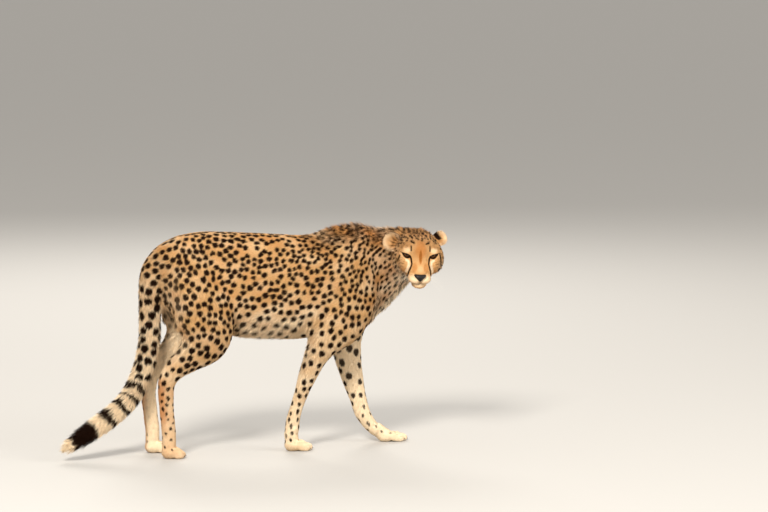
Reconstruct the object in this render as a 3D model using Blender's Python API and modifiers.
"""A cheetah, life size, standing in mid walk with its head low and turned over its right shoulder.

Frame: +X runs from rump to chest, +Y is the animal's left, +Z is up, metres.
The floor is z = 0 and the origin lies on it, under the middle of the animal's box. The shapes
are laid out from a point under the middle of the back, and moved to the origin at the end.
The flesh is built whole from lofted limbs, fused, and then parted by thin cuts at the joints.
"""

import math

import bmesh
import bpy
import numpy as np
from mathutils import Matrix, Vector

# Sizes of the whole animal, all out to the tips of the coat
BACK_HEIGHT = 0.738
CREST_HEIGHT = 0.759
BELLY_HEIGHT = 0.364
CHEST_HALF_WIDTH = 0.106
HIP_HALF_WIDTH = 0.098
TAIL_RADIUS = 0.041

# Head, in its own frame: forward, left and up from the point midway between the eyes
EYE_LINE = Vector((0.487, -0.190, 0.655))
HEAD_YAW = math.radians(-104)
HEAD_PITCH = math.radians(-12)
HEAD_ROLL = math.radians(-2.6)
EYE_SPACING = 0.086
EYE_RADIUS = 0.0155
EYE_SLANT = math.radians(14)
EAR_THICKNESS = 0.010
EAR_CUP = 0.012
# root, outward direction, upright direction, length, width: the right droops out, the left lies back
EAR_RIGHT = ((-0.056, -0.062, 0.020), (0.02, -1.0, 0.12), (-0.25, 0.08, 1.0), 0.056, 0.066)
EAR_LEFT = ((-0.072, 0.054, 0.024), (-0.40, 0.85, 0.45), (-0.30, -0.45, 0.85), 0.050, 0.050)
NOSE_WIDTH = 0.040

# Feet: places of the ball of each foot on the floor
FORE_FOOT_RIGHT = Vector((0.092, -0.046, 0.0))
FORE_FOOT_LEFT = Vector((0.444, 0.036, 0.0))
HIND_FOOT_RIGHT = Vector((-0.332, -0.062, 0.0))
HIND_FOOT_LEFT = Vector((-0.356, 0.066, 0.0))

# Making
FUSE_VOXEL = 0.0042
CUT_GAP = 0.0003
TAIL_CUT = -0.3475
HIP_CUT = -0.220
CUT_OVERRUN = 0.003
PAW_WIDTH = 0.066
FLOOR_REACH = 1.0
FLOOR_DEPTH = 0.2
WORK_SCALE = 100.0
SMALLEST_PIECE = 0.015
BODY_TRIANGLES = 1650
FACE_TRIANGLES = 1400
FACE_REACH = 0.130
RING_POINTS = 28
LOFT_STEP = 0.012
FULLNESS = 0.92

# Materials: colour, roughness
TAN = ((0.72, 0.47, 0.24, 1.0), 0.85)
CREAM = ((0.82, 0.70, 0.52, 1.0), 0.85)
BLACK = ((0.02, 0.015, 0.012, 1.0), 0.45)
AMBER = ((0.30, 0.13, 0.03, 1.0), 0.08)


def clear_scene():
    """Empties the scene."""
    for thing in list(bpy.data.objects):
        bpy.data.objects.remove(thing, do_unlink=True)


def new_collection(name):
    """Makes a collection under the scene's own."""
    made = bpy.data.collections.new(name)
    bpy.context.scene.collection.children.link(made)
    return made


def make_material(name, looks):
    """Makes a plain Principled material from a colour and a roughness."""
    colour, roughness = looks
    made = bpy.data.materials.new(name)
    made.use_nodes = True
    shader = made.node_tree.nodes["Principled BSDF"]
    shader.inputs["Base Color"].default_value = colour
    shader.inputs["Roughness"].default_value = roughness
    shader.inputs["Metallic"].default_value = 0.0
    made.diffuse_color = colour
    return made


def mesh_object(name, points, faces, home):
    """Makes a mesh object from points and faces, with its faces turned outward."""
    mesh = bpy.data.meshes.new(name)
    mesh.from_pydata([tuple(p) for p in points], [], [tuple(f) for f in faces])
    mesh.update()
    shape = bmesh.new()
    shape.from_mesh(mesh)
    bmesh.ops.recalc_face_normals(shape, faces=shape.faces)
    shape.to_mesh(mesh)
    shape.free()
    made = bpy.data.objects.new(name, mesh)
    home.objects.link(made)
    return made


def spline(rows, step):
    """Rows of numbers joined by a Catmull-Rom curve; the first three of a row are its place."""
    rows = np.array(rows, float)
    ends = np.vstack([2 * rows[0] - rows[1], rows, 2 * rows[-1] - rows[-2]])
    made = []
    for i in range(1, len(ends) - 2):
        p0, p1, p2, p3 = ends[i - 1], ends[i], ends[i + 1], ends[i + 2]
        count = max(2, int(np.linalg.norm((p2 - p1)[:3]) / step))
        for t in np.arange(count) / count:
            made.append(
                0.5
                * (
                    2 * p1
                    + (p2 - p0) * t
                    + (2 * p0 - 5 * p1 + 4 * p2 - p3) * t**2
                    + (3 * p1 - p0 - 3 * p2 + p3) * t**3
                )
            )
    made.append(ends[-2])
    return np.array(made)


def loft(name, rows, across, home, facing=None):
    """A closed limb along a path.

    Each row is x, y, z, half width, front radius, back radius. A ring is an oval whose
    width lies along the direction called across and whose front and back may differ. It
    stands square to the path, or to the direction called facing if that is given.
    """
    rows = spline(rows, LOFT_STEP)
    path = rows[:, :3]
    tangent = np.gradient(path, axis=0)
    if facing is not None:
        tangent = np.tile(np.array(facing, float), (len(rows), 1))
    tangent /= np.linalg.norm(tangent, axis=1)[:, None]
    across = np.array(across, float)
    side = across - tangent * (tangent @ across)[:, None]
    side /= np.linalg.norm(side, axis=1)[:, None]
    front = np.cross(tangent, side)
    angle = np.linspace(0, 2 * math.pi, RING_POINTS, endpoint=False)
    depth = np.where(np.cos(angle) >= 0, rows[:, 4:5], rows[:, 5:6])
    out = np.sign(np.cos(angle)) * np.abs(np.cos(angle)) ** FULLNESS
    aside = np.sign(np.sin(angle)) * np.abs(np.sin(angle)) ** FULLNESS
    points = (
        path[:, None]
        + front[:, None] * (depth * out)[:, :, None]
        + side[:, None] * (rows[:, 3:4] * aside)[:, :, None]
    ).reshape(-1, 3)
    count = len(rows)
    faces = [
        (
            i * RING_POINTS + j,
            i * RING_POINTS + (j + 1) % RING_POINTS,
            (i + 1) * RING_POINTS + (j + 1) % RING_POINTS,
            (i + 1) * RING_POINTS + j,
        )
        for i in range(count - 1)
        for j in range(RING_POINTS)
    ]
    faces.append(tuple(range(RING_POINTS)))
    faces.append(tuple(range((count - 1) * RING_POINTS, count * RING_POINTS)))
    return mesh_object(name, points, faces, home)


def ball(name, centre, radii, turn, home, detail=3):
    """An ellipsoid: centre, three radii, and a rotation matrix."""
    shape = bmesh.new()
    bmesh.ops.create_icosphere(shape, subdivisions=detail, radius=1.0)
    place = Matrix.Translation(centre) @ turn.to_4x4() @ Matrix.Diagonal((*radii, 1.0))
    bmesh.ops.transform(shape, matrix=place, verts=shape.verts)
    mesh = bpy.data.meshes.new(name)
    shape.to_mesh(mesh)
    shape.free()
    made = bpy.data.objects.new(name, mesh)
    home.objects.link(made)
    return made


def head_turn():
    """The head's axes as a rotation matrix: columns forward, left, up."""
    forward = Vector(
        (
            math.cos(HEAD_YAW) * math.cos(HEAD_PITCH),
            math.sin(HEAD_YAW) * math.cos(HEAD_PITCH),
            math.sin(HEAD_PITCH),
        )
    )
    left = Vector((0, 0, 1)).cross(forward).normalized()
    up = forward.cross(left)
    plain = Matrix((forward, left, up)).transposed()
    return plain @ Matrix.Rotation(HEAD_ROLL, 3, "X")


def on_head(forward, left, up):
    """A place given in the head's frame."""
    return EYE_LINE + head_turn() @ Vector((forward, left, up))


def trunk(home):
    """Rump, loin, belly, ribs and brisket as one upright oval carried along the back."""
    # x, top, bottom, half width
    stations = [
        (-0.376, 0.676, 0.575, 0.034),
        (-0.356, 0.694, 0.520, 0.062),
        (-0.325, 0.711, 0.470, 0.083),
        (-0.280, 0.729, 0.436, HIP_HALF_WIDTH - 0.004),
        (-0.200, BACK_HEIGHT + 0.001, 0.411, HIP_HALF_WIDTH),
        (-0.120, 0.736, 0.389, 0.094),
        (-0.040, 0.731, 0.370, 0.097),
        (0.050, 0.724, BELLY_HEIGHT, 0.103),
        (0.130, 0.718, BELLY_HEIGHT, CHEST_HALF_WIDTH),
        (0.200, 0.723, 0.373, 0.105),
        (0.265, 0.741, 0.375, 0.099),
        (0.330, 0.749, 0.379, 0.091),
        (0.378, 0.736, 0.408, 0.075),
        (0.410, 0.716, 0.462, 0.054),
    ]
    rows = []
    for x, top, bottom, half in stations:
        middle = bottom + (top - bottom) * 0.52
        rows.append((x, 0.0, middle, half, top - middle, middle - bottom))
    return loft("trunk", rows, (0, 1, 0), home, (1, 0, 0))


def crest(home):
    """The mane that stands along the withers and the nape."""
    rows = [
        (0.190, 0.0, 0.696, 0.016, 0.03, 0.022),
        (0.245, 0.0, 0.711, 0.022, 0.04, 0.030),
        (0.300, 0.0, CREST_HEIGHT - 0.040, 0.026, 0.04, 0.040),
        (0.345, 0.0, CREST_HEIGHT - 0.042, 0.028, 0.04, 0.040),
        (0.390, -0.005, CREST_HEIGHT - 0.058, 0.032, 0.04, 0.040),
        (0.435, -0.020, CREST_HEIGHT - 0.058, 0.036, 0.04, 0.036),
        (0.472, -0.050, CREST_HEIGHT - 0.060, 0.040, 0.04, 0.036),
        (0.492, -0.085, CREST_HEIGHT - 0.066, 0.040, 0.04, 0.032),
    ]
    return loft("crest", rows, (0, 1, 0), home)


def neck(home):
    """The neck, bending to the animal's right."""
    rows = [
        (0.290, 0.000, 0.591, 0.084, 0.140, 0.150),
        (0.365, -0.002, 0.584, 0.083, 0.150, 0.155),
        (0.415, -0.016, 0.598, 0.072, 0.134, 0.112),
        (0.455, -0.046, 0.621, 0.066, 0.112, 0.086),
        (0.480, -0.088, 0.636, 0.063, 0.096, 0.074),
        (0.488, -0.128, 0.641, 0.060, 0.080, 0.062),
    ]
    return loft("neck", rows, (0, 1, 0.0), home)


def hind_leg(side, foot, home):
    """A hind leg from hip to ball of foot; side is -1 for the right and 1 for the left."""
    lean = foot.x - HIND_FOOT_RIGHT.x
    spread = abs(foot.y)
    # x, y, z, half width, front radius, back radius
    rows = [
        (-0.255, 0.045, 0.641, 0.050, 0.060, 0.070),
        (-0.248, 0.058, 0.581, 0.056, 0.100, 0.088),
        (-0.232, 0.073, 0.501, 0.056, 0.116, 0.096),
        (-0.218, 0.082, 0.431, 0.050, 0.106, 0.106),
        (-0.226, 0.087, 0.379, 0.044, 0.088, 0.090),
        (-0.268, 0.085, 0.334, 0.036, 0.056, 0.056),
        (-0.316, 0.080, 0.296, 0.029, 0.041, 0.044),
        (-0.343, 0.075, 0.258, 0.027, 0.033, 0.036),
        (-0.345, 0.071, 0.196, 0.025, 0.028, 0.031),
        (-0.340, 0.067, 0.131, 0.025, 0.027, 0.029),
        (-0.334, spread, 0.075, 0.026, 0.027, 0.028),
        (-0.331, spread, 0.034, 0.029, 0.026, 0.027),
    ]
    made = []
    for x, y, z, half, fore, back in rows:
        low = min(1.0, max(0.0, (0.46 - z) / 0.25))
        made.append((x + lean * low, side * y, z, half, fore, back))
    return loft("hind_leg", made, (0, 1, 0), home)


def fore_leg_right(home):
    """The right foreleg, slanting back under the chest."""
    rows = [
        (0.290, -0.050, 0.651, 0.045, 0.075, 0.075),
        (0.300, -0.064, 0.571, 0.050, 0.084, 0.098),
        (0.290, -0.076, 0.491, 0.050, 0.086, 0.098),
        (0.243, -0.084, 0.421, 0.046, 0.084, 0.084),
        (0.192, -0.086, 0.366, 0.041, 0.060, 0.062),
        (0.161, -0.079, 0.311, 0.036, 0.042, 0.042),
        (0.135, -0.070, 0.251, 0.031, 0.036, 0.034),
        (0.118, -0.061, 0.196, 0.027, 0.028, 0.028),
        (0.101, -0.053, 0.141, 0.025, 0.025, 0.026),
        (0.090, -0.048, 0.096, 0.026, 0.027, 0.027),
        (0.086, -0.046, 0.058, 0.026, 0.026, 0.027),
        (0.089, -0.046, 0.028, 0.029, 0.026, 0.027),
    ]
    return loft("fore_leg", rows, (0, 1, 0), home)


def fore_leg_left(home):
    """The left foreleg, reaching forward."""
    rows = [
        (0.300, 0.050, 0.651, 0.045, 0.075, 0.075),
        (0.330, 0.062, 0.571, 0.050, 0.094, 0.098),
        (0.342, 0.074, 0.491, 0.050, 0.088, 0.098),
        (0.325, 0.080, 0.411, 0.044, 0.072, 0.078),
        (0.319, 0.077, 0.346, 0.040, 0.055, 0.058),
        (0.323, 0.070, 0.281, 0.037, 0.047, 0.050),
        (0.334, 0.060, 0.216, 0.033, 0.040, 0.041),
        (0.350, 0.049, 0.151, 0.029, 0.032, 0.033),
        (0.363, 0.042, 0.101, 0.028, 0.030, 0.031),
        (0.385, 0.038, 0.064, 0.028, 0.026, 0.027),
        (0.412, 0.036, 0.036, 0.029, 0.023, 0.024),
        (0.436, 0.036, 0.022, 0.030, 0.020, 0.021),
    ]
    return loft("fore_leg", rows, (0, 1, 0), home)


def paw(foot, length, width, home):
    """Ball of the foot and four toes, pointing along +X."""
    upright = Matrix.Identity(3)
    made = [ball("ball_of_foot", foot + Vector((0, 0, 0.015)), (0.030, width / 2, 0.020), upright, home)]
    for across, reach in ((-0.36, 0.72), (-0.13, 1.0), (0.13, 1.0), (0.36, 0.72)):
        toe = foot + Vector((length * 0.62 * reach, width * across, 0.010))
        made.append(ball("toe", toe, (0.021, width * 0.155, 0.0155), upright, home))
        root = foot + Vector((length * 0.32 * reach, width * across * 0.9, 0.016))
        made.append(ball("toe", root, (0.024, width * 0.17, 0.0170), upright, home))
    return made


def tail(home):
    """The tail: down from the rump, then curving back to a blunt tip."""
    full = TAIL_RADIUS
    rows = [
        (-0.310, 0.000, 0.662, 0.050, 0.040, 0.040),
        (-0.340, 0.000, 0.650, 0.046, 0.040, 0.040),
        (-0.366, 0.000, 0.626, 0.042, 0.040, 0.040),
        (-0.380, -0.002, 0.590, full, 0.040, 0.040),
        (-0.382, -0.004, 0.550, full, full, full),
        (-0.382, -0.006, 0.501, full, full, full),
        (-0.382, -0.008, 0.441, full, full, full),
        (-0.385, -0.010, 0.381, full, full, full),
        (-0.397, -0.012, 0.323, full, full, full),
        (-0.418, -0.014, 0.262, full, full, full),
        (-0.448, -0.016, 0.207, 0.040, 0.041, 0.041),
        (-0.488, -0.018, 0.164, 0.040, 0.040, 0.040),
        (-0.534, -0.020, 0.129, 0.040, 0.040, 0.040),
        (-0.582, -0.022, 0.099, 0.039, 0.039, 0.039),
        (-0.628, -0.024, 0.071, 0.035, 0.035, 0.035),
        (-0.664, -0.025, 0.049, 0.026, 0.026, 0.026),
        (-0.682, -0.026, 0.038, 0.012, 0.012, 0.012),
    ]
    return loft("tail", rows, (0, 1, 0), home)


def head(home):
    """Skull, cheeks, brow, bridge, muzzle, lips, chin and jaw, in the head's frame."""
    turn = head_turn()

    def lump(name, place, radii, tilt=0.0):
        return ball(name, on_head(*place), radii, turn @ Matrix.Rotation(tilt, 3, "Y"), home)

    made = [
        lump("cranium", (-0.064, 0, 0.006), (0.076, 0.074, 0.056)),
        lump("forehead", (-0.024, 0, 0.014), (0.046, 0.052, 0.042)),
        lump("jaw", (-0.020, 0, -0.060), (0.062, 0.036, 0.034), 0.35),
        lump("chin", (0.038, 0, -0.086), (0.020, 0.020, 0.015)),
        lump("nape", (-0.104, 0, 0.000), (0.060, 0.070, 0.062)),
    ]
    bridge = [
        (-0.010, 0.010, 0.034),
        (0.012, -0.004, 0.029),
        (0.036, -0.028, 0.025),
        (0.056, -0.050, 0.022),
    ]
    rows = [(*on_head(f, 0, u - 0.012), half, 0.024, 0.020) for f, u, half in bridge]
    made.append(loft("bridge", rows, turn @ Vector((0, 1, 0)), home))
    for side in (-1, 1):
        made.append(lump("cheek", (-0.044, side * 0.050, -0.028), (0.044, 0.042, 0.057)))
        made.append(lump("zygoma", (-0.020, side * 0.048, -0.014), (0.034, 0.030, 0.026)))
        made.append(lump("orbit", (-0.012, side * 0.042, 0.001), (0.0245, 0.027, 0.023)))
        made.append(lump("bridge_side", (0.012, side * 0.024, -0.036), (0.032, 0.020, 0.030), 0.5))
        made.append(lump("lip", (0.039, side * 0.0165, -0.068), (0.022, 0.0195, 0.017), 0.25))
        made.append(lump("jowl", (0.000, side * 0.023, -0.060), (0.036, 0.021, 0.026), 0.4))
    return made


def ear(name, pose, home):
    """An ear: a cupped, rounded leaf. The pose is its root, outward and upright directions and size."""
    turn = head_turn()
    root, outward, upright, length, width = pose
    outward = Vector(outward).normalized()
    upright = Vector(upright)
    width_axis = (upright - outward * upright.dot(outward)).normalized()
    cup_axis = outward.cross(width_axis)
    if cup_axis.x > 0:
        cup_axis = -cup_axis
    flip = outward.cross(width_axis).dot(cup_axis) < 0
    shape = bmesh.new()
    bmesh.ops.create_uvsphere(shape, u_segments=16, v_segments=8, radius=1.0)
    for vertex in shape.verts:
        along, wide, thick = vertex.co.x, vertex.co.y, vertex.co.z
        cup = EAR_CUP * (1.0 - wide * wide) - EAR_CUP * 0.3 * along
        place = Vector(root) + outward * (along + 0.72) * length * 0.58
        place = place + width_axis * wide * width * 0.5
        place = place + cup_axis * (thick * EAR_THICKNESS * 0.5 + cup)
        vertex.co = EYE_LINE + turn @ place
    if flip:
        bmesh.ops.reverse_faces(shape, faces=shape.faces)
    bmesh.ops.triangulate(shape, faces=shape.faces)
    mesh = bpy.data.meshes.new(name)
    shape.to_mesh(mesh)
    shape.free()
    made = bpy.data.objects.new(name, mesh)
    home.objects.link(made)
    return made


def ear_socket(thing, home):
    """The hollow that an ear stands in: the ear, larger by the cut's width."""
    socket = thing.copy()
    socket.data = thing.data.copy()
    home.objects.link(socket)
    shape = bmesh.new()
    shape.from_mesh(socket.data)
    shape.normal_update()
    for vertex in shape.verts:
        vertex.co = vertex.co + vertex.normal * CUT_GAP
    shape.to_mesh(socket.data)
    shape.free()
    return socket


def nose_pad(name, home, grow=0.0):
    """The nose leather: a rounded triangular wedge set in the tip of the muzzle."""
    turn = head_turn()
    shape = bmesh.new()
    bmesh.ops.create_cube(shape, size=1.0)
    for vertex in shape.verts:
        high = vertex.co.z > 0
        wide = NOSE_WIDTH if high else NOSE_WIDTH * 0.30
        place = Vector(
            (
                0.047 + vertex.co.x * 0.034 + (0.003 if high else -0.002),
                vertex.co.y * wide,
                -0.0615 + vertex.co.z * 0.022,
            )
        )
        vertex.co = place
    bmesh.ops.subdivide_edges(shape, edges=shape.edges, cuts=2, use_grid_fill=True, smooth=0.55)
    bmesh.ops.triangulate(shape, faces=shape.faces)
    bmesh.ops.recalc_face_normals(shape, faces=shape.faces)
    shape.normal_update()
    for vertex in shape.verts:
        vertex.co = vertex.co + vertex.normal * grow
    bmesh.ops.transform(shape, matrix=Matrix.Translation(EYE_LINE) @ turn.to_4x4(), verts=shape.verts)
    mesh = bpy.data.meshes.new(name)
    shape.to_mesh(mesh)
    shape.free()
    made = bpy.data.objects.new(name, mesh)
    home.objects.link(made)
    return made


def eye(name, side, home, grow=0.0):
    """An eyeball, or with grow its socket."""
    shape = bmesh.new()
    bmesh.ops.create_uvsphere(shape, u_segments=16, v_segments=10, radius=EYE_RADIUS + grow)
    place = on_head(-0.002, side * EYE_SPACING / 2, 0.0)
    bmesh.ops.transform(shape, matrix=Matrix.Translation(place) @ head_turn().to_4x4(), verts=shape.verts)
    mesh = bpy.data.meshes.new(name)
    shape.to_mesh(mesh)
    shape.free()
    made = bpy.data.objects.new(name, mesh)
    home.objects.link(made)
    return made


def eye_opening(side, home):
    """The almond gap between the lids, in front of the eyeball."""
    turn = head_turn() @ Matrix.Rotation(side * EYE_SLANT, 3, "X")
    place = on_head(0.018, side * (EYE_SPACING / 2 + 0.001), 0.0)
    return ball("eye_opening", place, (0.015, 0.0165, 0.0088), turn, home, 2)


def join(pieces, name):
    """Joins mesh objects into the first."""
    shape = bmesh.new()
    for piece in pieces:
        shape.from_mesh(piece.data)
    mesh = bpy.data.meshes.new(name)
    shape.to_mesh(mesh)
    shape.free()
    home = pieces[0].users_collection[0]
    for piece in pieces:
        bpy.data.objects.remove(piece, do_unlink=True)
    made = bpy.data.objects.new(name, mesh)
    home.objects.link(made)
    return made


def settle(thing):
    """Makes an object's modifiers part of its mesh."""
    graph = bpy.context.evaluated_depsgraph_get()
    mesh = bpy.data.meshes.new_from_object(thing.evaluated_get(graph))
    thing.modifiers.clear()
    thing.data = mesh
    return thing


def carve(thing, cutter):
    """Takes the cutter's volume out of the object."""
    step = thing.modifiers.new("cut", "BOOLEAN")
    step.operation = "DIFFERENCE"
    step.solver = "EXACT"
    step.object = cutter
    settle(thing)


def on_face(place):
    """How much a place belongs to the head, from 0 to 1."""
    reach = (Vector(place) - on_head(0.0, 0.0, -0.02)).length
    return min(1.0, max(0.0, (FACE_REACH - reach) / 0.03))


def thin(whole, name, keep):
    """Thins the mesh inside one vertex group to a number of triangles."""
    group = whole.vertex_groups[name].index
    inside = [
        any(entry.group == group and entry.weight > 0.5 for entry in vertex.groups)
        for vertex in whole.data.vertices
    ]
    total = 0
    there = 0
    for face in whole.data.polygons:
        count = len(face.vertices) - 2
        total += count
        if inside[face.vertices[0]]:
            there += count
    step = whole.modifiers.new("thin", "DECIMATE")
    step.ratio = (total - there + keep) / total
    step.vertex_group = name
    step.use_collapse_triangulate = True
    settle(whole)


def fuse(pieces):
    """Fuses the limbs into one skin, rounds the joins and thins the mesh."""
    whole = join(pieces, "cheetah")
    step = whole.modifiers.new("fuse", "REMESH")
    step.mode = "VOXEL"
    step.voxel_size = FUSE_VOXEL
    step.use_smooth_shade = True
    settle(whole)
    body = whole.vertex_groups.new(name="body")
    face = whole.vertex_groups.new(name="face")
    for vertex in whole.data.vertices:
        amount = on_face(vertex.co)
        body.add([vertex.index], 1.0 - amount, "REPLACE")
        face.add([vertex.index], amount, "REPLACE")
    whole.data.transform(Matrix.Scale(WORK_SCALE, 4))
    for group, rounds in (("body", 14), ("face", 3)):
        step = whole.modifiers.new("round", "SMOOTH")
        step.factor = 0.5
        step.iterations = rounds
        step.vertex_group = group
    settle(whole)
    thin(whole, "face", FACE_TRIANGLES)
    thin(whole, "body", BODY_TRIANGLES)
    whole.data.transform(Matrix.Scale(1.0 / WORK_SCALE, 4))
    whole.vertex_groups.clear()
    return whole


def plate(name, outline, sweep, home):
    """A thin sheet that parts two pieces: a folded line carried along a straight sweep."""
    line = [Vector(p) for p in outline]
    sweep = Vector(sweep)
    normals = [(b - a).cross(sweep).normalized() for a, b in zip(line, line[1:])]
    half = CUT_GAP / 2
    rows = []
    for i, place in enumerate(line):
        before = normals[max(i - 1, 0)]
        after = normals[min(i, len(normals) - 1)]
        mitre = (before + after).normalized()
        rows.append((place, mitre * half / max(0.3, mitre.dot(after))))
    points = []
    for end in (-0.5, 0.5):
        for sign in (-1, 1):
            points += [place + shift * sign + sweep * end for place, shift in rows]
    count = len(line)
    ring = list(range(count)) + [2 * count - 1 - i for i in range(count)]
    faces = [tuple(ring), tuple(i + 2 * count for i in reversed(ring))]
    total = len(ring)
    for i in range(total):
        a, b = ring[i], ring[(i + 1) % total]
        faces.append((b, a, a + 2 * count, b + 2 * count))
    made = mesh_object(name, points, faces, home)
    made.hide_render = True
    made.display_type = "WIRE"
    return made


def disc(name, centre, normal, radius, home):
    """A thin round plate across a limb."""
    shape = bmesh.new()
    bmesh.ops.create_cone(
        shape,
        cap_ends=True,
        segments=24,
        radius1=radius,
        radius2=radius,
        depth=CUT_GAP,
    )
    turn = Vector((0, 0, 1)).rotation_difference(Vector(normal)).to_matrix().to_4x4()
    bmesh.ops.transform(shape, matrix=Matrix.Translation(centre) @ turn, verts=shape.verts)
    mesh = bpy.data.meshes.new(name)
    shape.to_mesh(mesh)
    shape.free()
    made = bpy.data.objects.new(name, mesh)
    home.objects.link(made)
    made.hide_render = True
    made.display_type = "WIRE"
    return made


def block(name, low, high, home):
    """A plain box between two corners."""
    low, high = Vector(low), Vector(high)
    points = [
        (x, y, z) for x in (low.x, high.x) for y in (low.y, high.y) for z in (low.z, high.z)
    ]
    faces = [(0, 1, 3, 2), (4, 6, 7, 5), (0, 4, 5, 1), (2, 3, 7, 6), (0, 2, 6, 4), (1, 5, 7, 3)]
    made = mesh_object(name, points, faces, home)
    made.hide_render = True
    made.display_type = "WIRE"
    return made


def loose_parts(whole, home):
    """Parts a mesh into its separate islands."""
    shape = bmesh.new()
    shape.from_mesh(whole.data)
    shape.verts.ensure_lookup_table()
    left = set(shape.verts)
    islands = []
    while left:
        seed = left.pop()
        found = {seed}
        front = [seed]
        while front:
            vertex = front.pop()
            for edge in vertex.link_edges:
                other = edge.other_vert(vertex)
                if other not in found:
                    found.add(other)
                    front.append(other)
        left -= found
        islands.append(found)
    made = []
    for found in islands:
        order = {vertex: i for i, vertex in enumerate(sorted(found, key=lambda v: v.index))}
        faces = {face for vertex in found for face in vertex.link_faces}
        faces = [tuple(order[v] for v in face.verts) for face in sorted(faces, key=lambda f: f.index)]
        points = np.array([v.co for v in order])
        if np.ptp(points, axis=0).min() < SMALLEST_PIECE:
            continue
        made.append(mesh_object("piece", points, faces, home))
    shape.free()
    bpy.data.objects.remove(whole, do_unlink=True)
    return made


def joint_cuts(home):
    """The sheets and discs that part the flesh at its joints."""
    made = [
        disc("cut_neck_base", (0.402, -0.010, 0.586), (0.90, -0.12, 0.42), 0.25, home),
        disc("cut_neck_top", (0.497, -0.096, 0.629), (0.22, -0.96, -0.10), 0.14, home),
        disc("cut_ribs", (0.060, 0, 0.551), (1, 0, 0), 0.30, home),
        disc("cut_loin", (-0.112, 0, 0.551), (1, 0, 0.02), 0.30, home),
        disc("cut_tail_middle", (-0.388, -0.008, 0.451), (0, 0, 1), 0.055, home),
        disc("cut_tail_low", (-0.419, -0.014, 0.260), (0.42, 0, 0.90), 0.058, home),
        disc("cut_tail_end", (-0.536, -0.020, 0.128), (0.84, 0, 0.54), 0.055, home),
        plate(
            "cut_tail_root",
            ((TAIL_CUT, 0, 0.740), (TAIL_CUT, 0, 0.558), (-0.3335, 0, 0.470), (-0.3300, 0, 0.420)),
            (0, 0.24, 0),
            home,
        ),
        plate(
            "cut_jaw",
            (
                on_head(0.10, 0, -0.0795),
                on_head(0.020, 0, -0.074),
                on_head(-0.050, 0, -0.086),
                on_head(-0.058, 0, -0.160),
            ),
            head_turn() @ Vector((0, 0.16, 0)),
            home,
        ),
    ]
    for side in (-1, 1):
        made.append(
            plate(
                "cut_hip",
                (
                    (HIP_CUT, side * 0.18, 0.531),
                    (HIP_CUT, side * 0.020, 0.485),
                    (HIP_CUT + 0.030, side * 0.020, 0.300),
                ),
                (2 * (HIP_CUT - TAIL_CUT) + CUT_OVERRUN, 0, -0.147),
                home,
            )
        )
        made.append(
            plate(
                "cut_shoulder",
                ((0.27, side * 0.18, 0.470), (0.27, side * 0.044, 0.430), (0.27, side * 0.044, 0.290)),
                (0.40, 0, 0.15),
                home,
            )
        )
    return made


def limb_cuts(home):
    """The discs across the legs."""
    lean = HIND_FOOT_LEFT.x - HIND_FOOT_RIGHT.x
    made = []
    for side, shift in ((-1, 0.0), (1, lean)):
        made += [
            disc("cut_knee", (-0.235 + shift * 0.2, side * 0.087, 0.373), (0.60, 0, 0.80), 0.125, home),
            disc("cut_hock", (-0.348 + shift, side * 0.074, 0.245), (0.10, 0, 1.0), 0.055, home),
            disc("cut_hind_paw", (-0.336 + shift, side * 0.063, 0.055), (0, 0, 1), 0.052, home),
        ]
    made += [
        disc("cut_elbow", (0.185, -0.086, 0.353), (0.50, 0, 0.86), 0.095, home),
        disc("cut_wrist", (0.093, -0.049, 0.110), (0.15, 0, 1.0), 0.045, home),
        disc("cut_fore_paw", (0.086, -0.046, 0.046), (0, 0, 1), 0.055, home),
        disc("cut_elbow", (0.320, 0.080, 0.353), (0.05, 0, 1.0), 0.090, home),
        disc("cut_wrist", (0.361, 0.043, 0.109), (-0.35, 0, 0.94), 0.055, home),
        disc("cut_fore_paw", (0.404, 0.037, 0.044), (-0.80, 0, 0.60), 0.055, home),
    ]
    return made


def part_names():
    """Where the middle of each named piece of flesh lies."""
    lean = HIND_FOOT_LEFT.x - HIND_FOOT_RIGHT.x
    names = {
        "head": on_head(-0.03, 0, 0.0),
        "jaw": on_head(0.02, 0, -0.088),
        "neck": Vector((0.45, -0.035, 0.611)),
        "chest": Vector((0.22, 0, 0.581)),
        "belly": Vector((-0.03, 0, 0.561)),
        "rump": Vector((-0.26, 0, 0.621)),
        "tail_root": Vector((-0.386, -0.004, 0.551)),
        "tail_middle": Vector((-0.392, -0.010, 0.371)),
        "tail_low": Vector((-0.468, -0.016, 0.191)),
        "tail_tip": Vector((-0.610, -0.022, 0.091)),
    }
    for word, side, shift in (("right", -1, 0.0), ("left", 1, lean)):
        names[f"thigh_{word}"] = Vector((-0.23, side * 0.085, 0.451))
        names[f"shank_{word}"] = Vector((-0.285 + shift * 0.5, side * 0.084, 0.321))
        names[f"metatarsus_{word}"] = Vector((-0.348 + shift, side * 0.076, 0.151))
        names[f"hind_paw_{word}"] = Vector((-0.325 + shift, side * 0.062, 0.030))
    names["upper_arm_right"] = Vector((0.25, -0.088, 0.421))
    names["forearm_right"] = Vector((0.13, -0.068, 0.231))
    names["metacarpus_right"] = Vector((0.088, -0.047, 0.076))
    names["fore_paw_right"] = Vector((0.105, -0.046, 0.025))
    names["upper_arm_left"] = Vector((0.33, 0.088, 0.421))
    names["forearm_left"] = Vector((0.333, 0.065, 0.231))
    names["metacarpus_left"] = Vector((0.386, 0.038, 0.068))
    names["fore_paw_left"] = Vector((0.452, 0.036, 0.025))
    return names


def centre_of(thing):
    """The middle of an object's box."""
    corners = [Vector(c) for c in thing.bound_box]
    return sum(corners, Vector()) / 8


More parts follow.
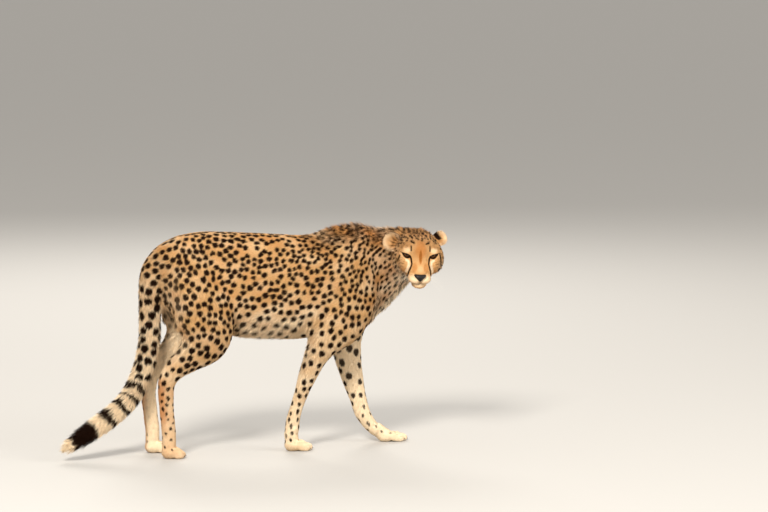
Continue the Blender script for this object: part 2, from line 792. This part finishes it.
def flesh(home):
    """The whole animal without eyes, ears and nose, fused into one closed shape."""
    limbs = [trunk(home), crest(home), neck(home), tail(home)]
    limbs += [hind_leg(-1, HIND_FOOT_RIGHT, home), hind_leg(1, HIND_FOOT_LEFT, home)]
    limbs += [fore_leg_right(home), fore_leg_left(home)]
    for foot, length in (
        (FORE_FOOT_RIGHT, 0.062),
        (FORE_FOOT_LEFT, 0.072),
        (HIND_FOOT_RIGHT, 0.040),
        (HIND_FOOT_LEFT, 0.048),
    ):
        limbs += paw(foot, length, PAW_WIDTH, home)
    limbs += head(home)
    return fuse(limbs)


def looks_of(name):
    """The colour and roughness of a named piece."""
    if name.startswith("eye"):
        return AMBER
    if name == "nose":
        return BLACK
    if "paw" in name or "meta" in name or name in ("jaw", "belly"):
        return CREAM
    return TAN


def finish(home):
    """Gives every piece its material and smooth shading, and puts the box's middle over the origin."""
    low = np.full(3, np.inf)
    high = np.full(3, -np.inf)
    for thing in home.objects:
        points = np.array([v.co for v in thing.data.vertices])
        low = np.minimum(low, points.min(axis=0))
        high = np.maximum(high, points.max(axis=0))
    middle = (low + high) / 2
    for thing in home.objects:
        thing.data.transform(Matrix.Translation((-middle[0], -middle[1], 0.0)))
        thing.data.materials.clear()
        thing.data.materials.append(make_material(thing.name, looks_of(thing.name)))
        for face in thing.data.polygons:
            face.use_smooth = True


def main():
    clear_scene()
    animal = new_collection("cheetah")
    helpers = new_collection("cutters")
    helpers.hide_render = True

    whole = flesh(animal)
    low = (-FLOOR_REACH, -FLOOR_REACH, -FLOOR_DEPTH)
    carve(whole, block("floor", low, (FLOOR_REACH, FLOOR_REACH, 0.0), helpers))
    for side, word, pose in ((-1, "right", EAR_RIGHT), (1, "left", EAR_LEFT)):
        carve(whole, ear_socket(ear(f"ear_{word}", pose, animal), helpers))
        carve(whole, eye("socket", side, helpers, CUT_GAP))
        carve(whole, eye_opening(side, helpers))
        eye(f"eye_{word}", side, animal)
    carve(whole, nose_pad("nose_bed", helpers, CUT_GAP))
    nose_pad("nose", animal)

    for cutter in joint_cuts(helpers) + limb_cuts(helpers):
        carve(whole, cutter)
    names = part_names()
    for piece in loose_parts(whole, animal):
        middle = centre_of(piece)
        piece.name = min(names, key=lambda n: (names[n] - middle).length)
        piece.data.name = piece.name
    finish(animal)


main()
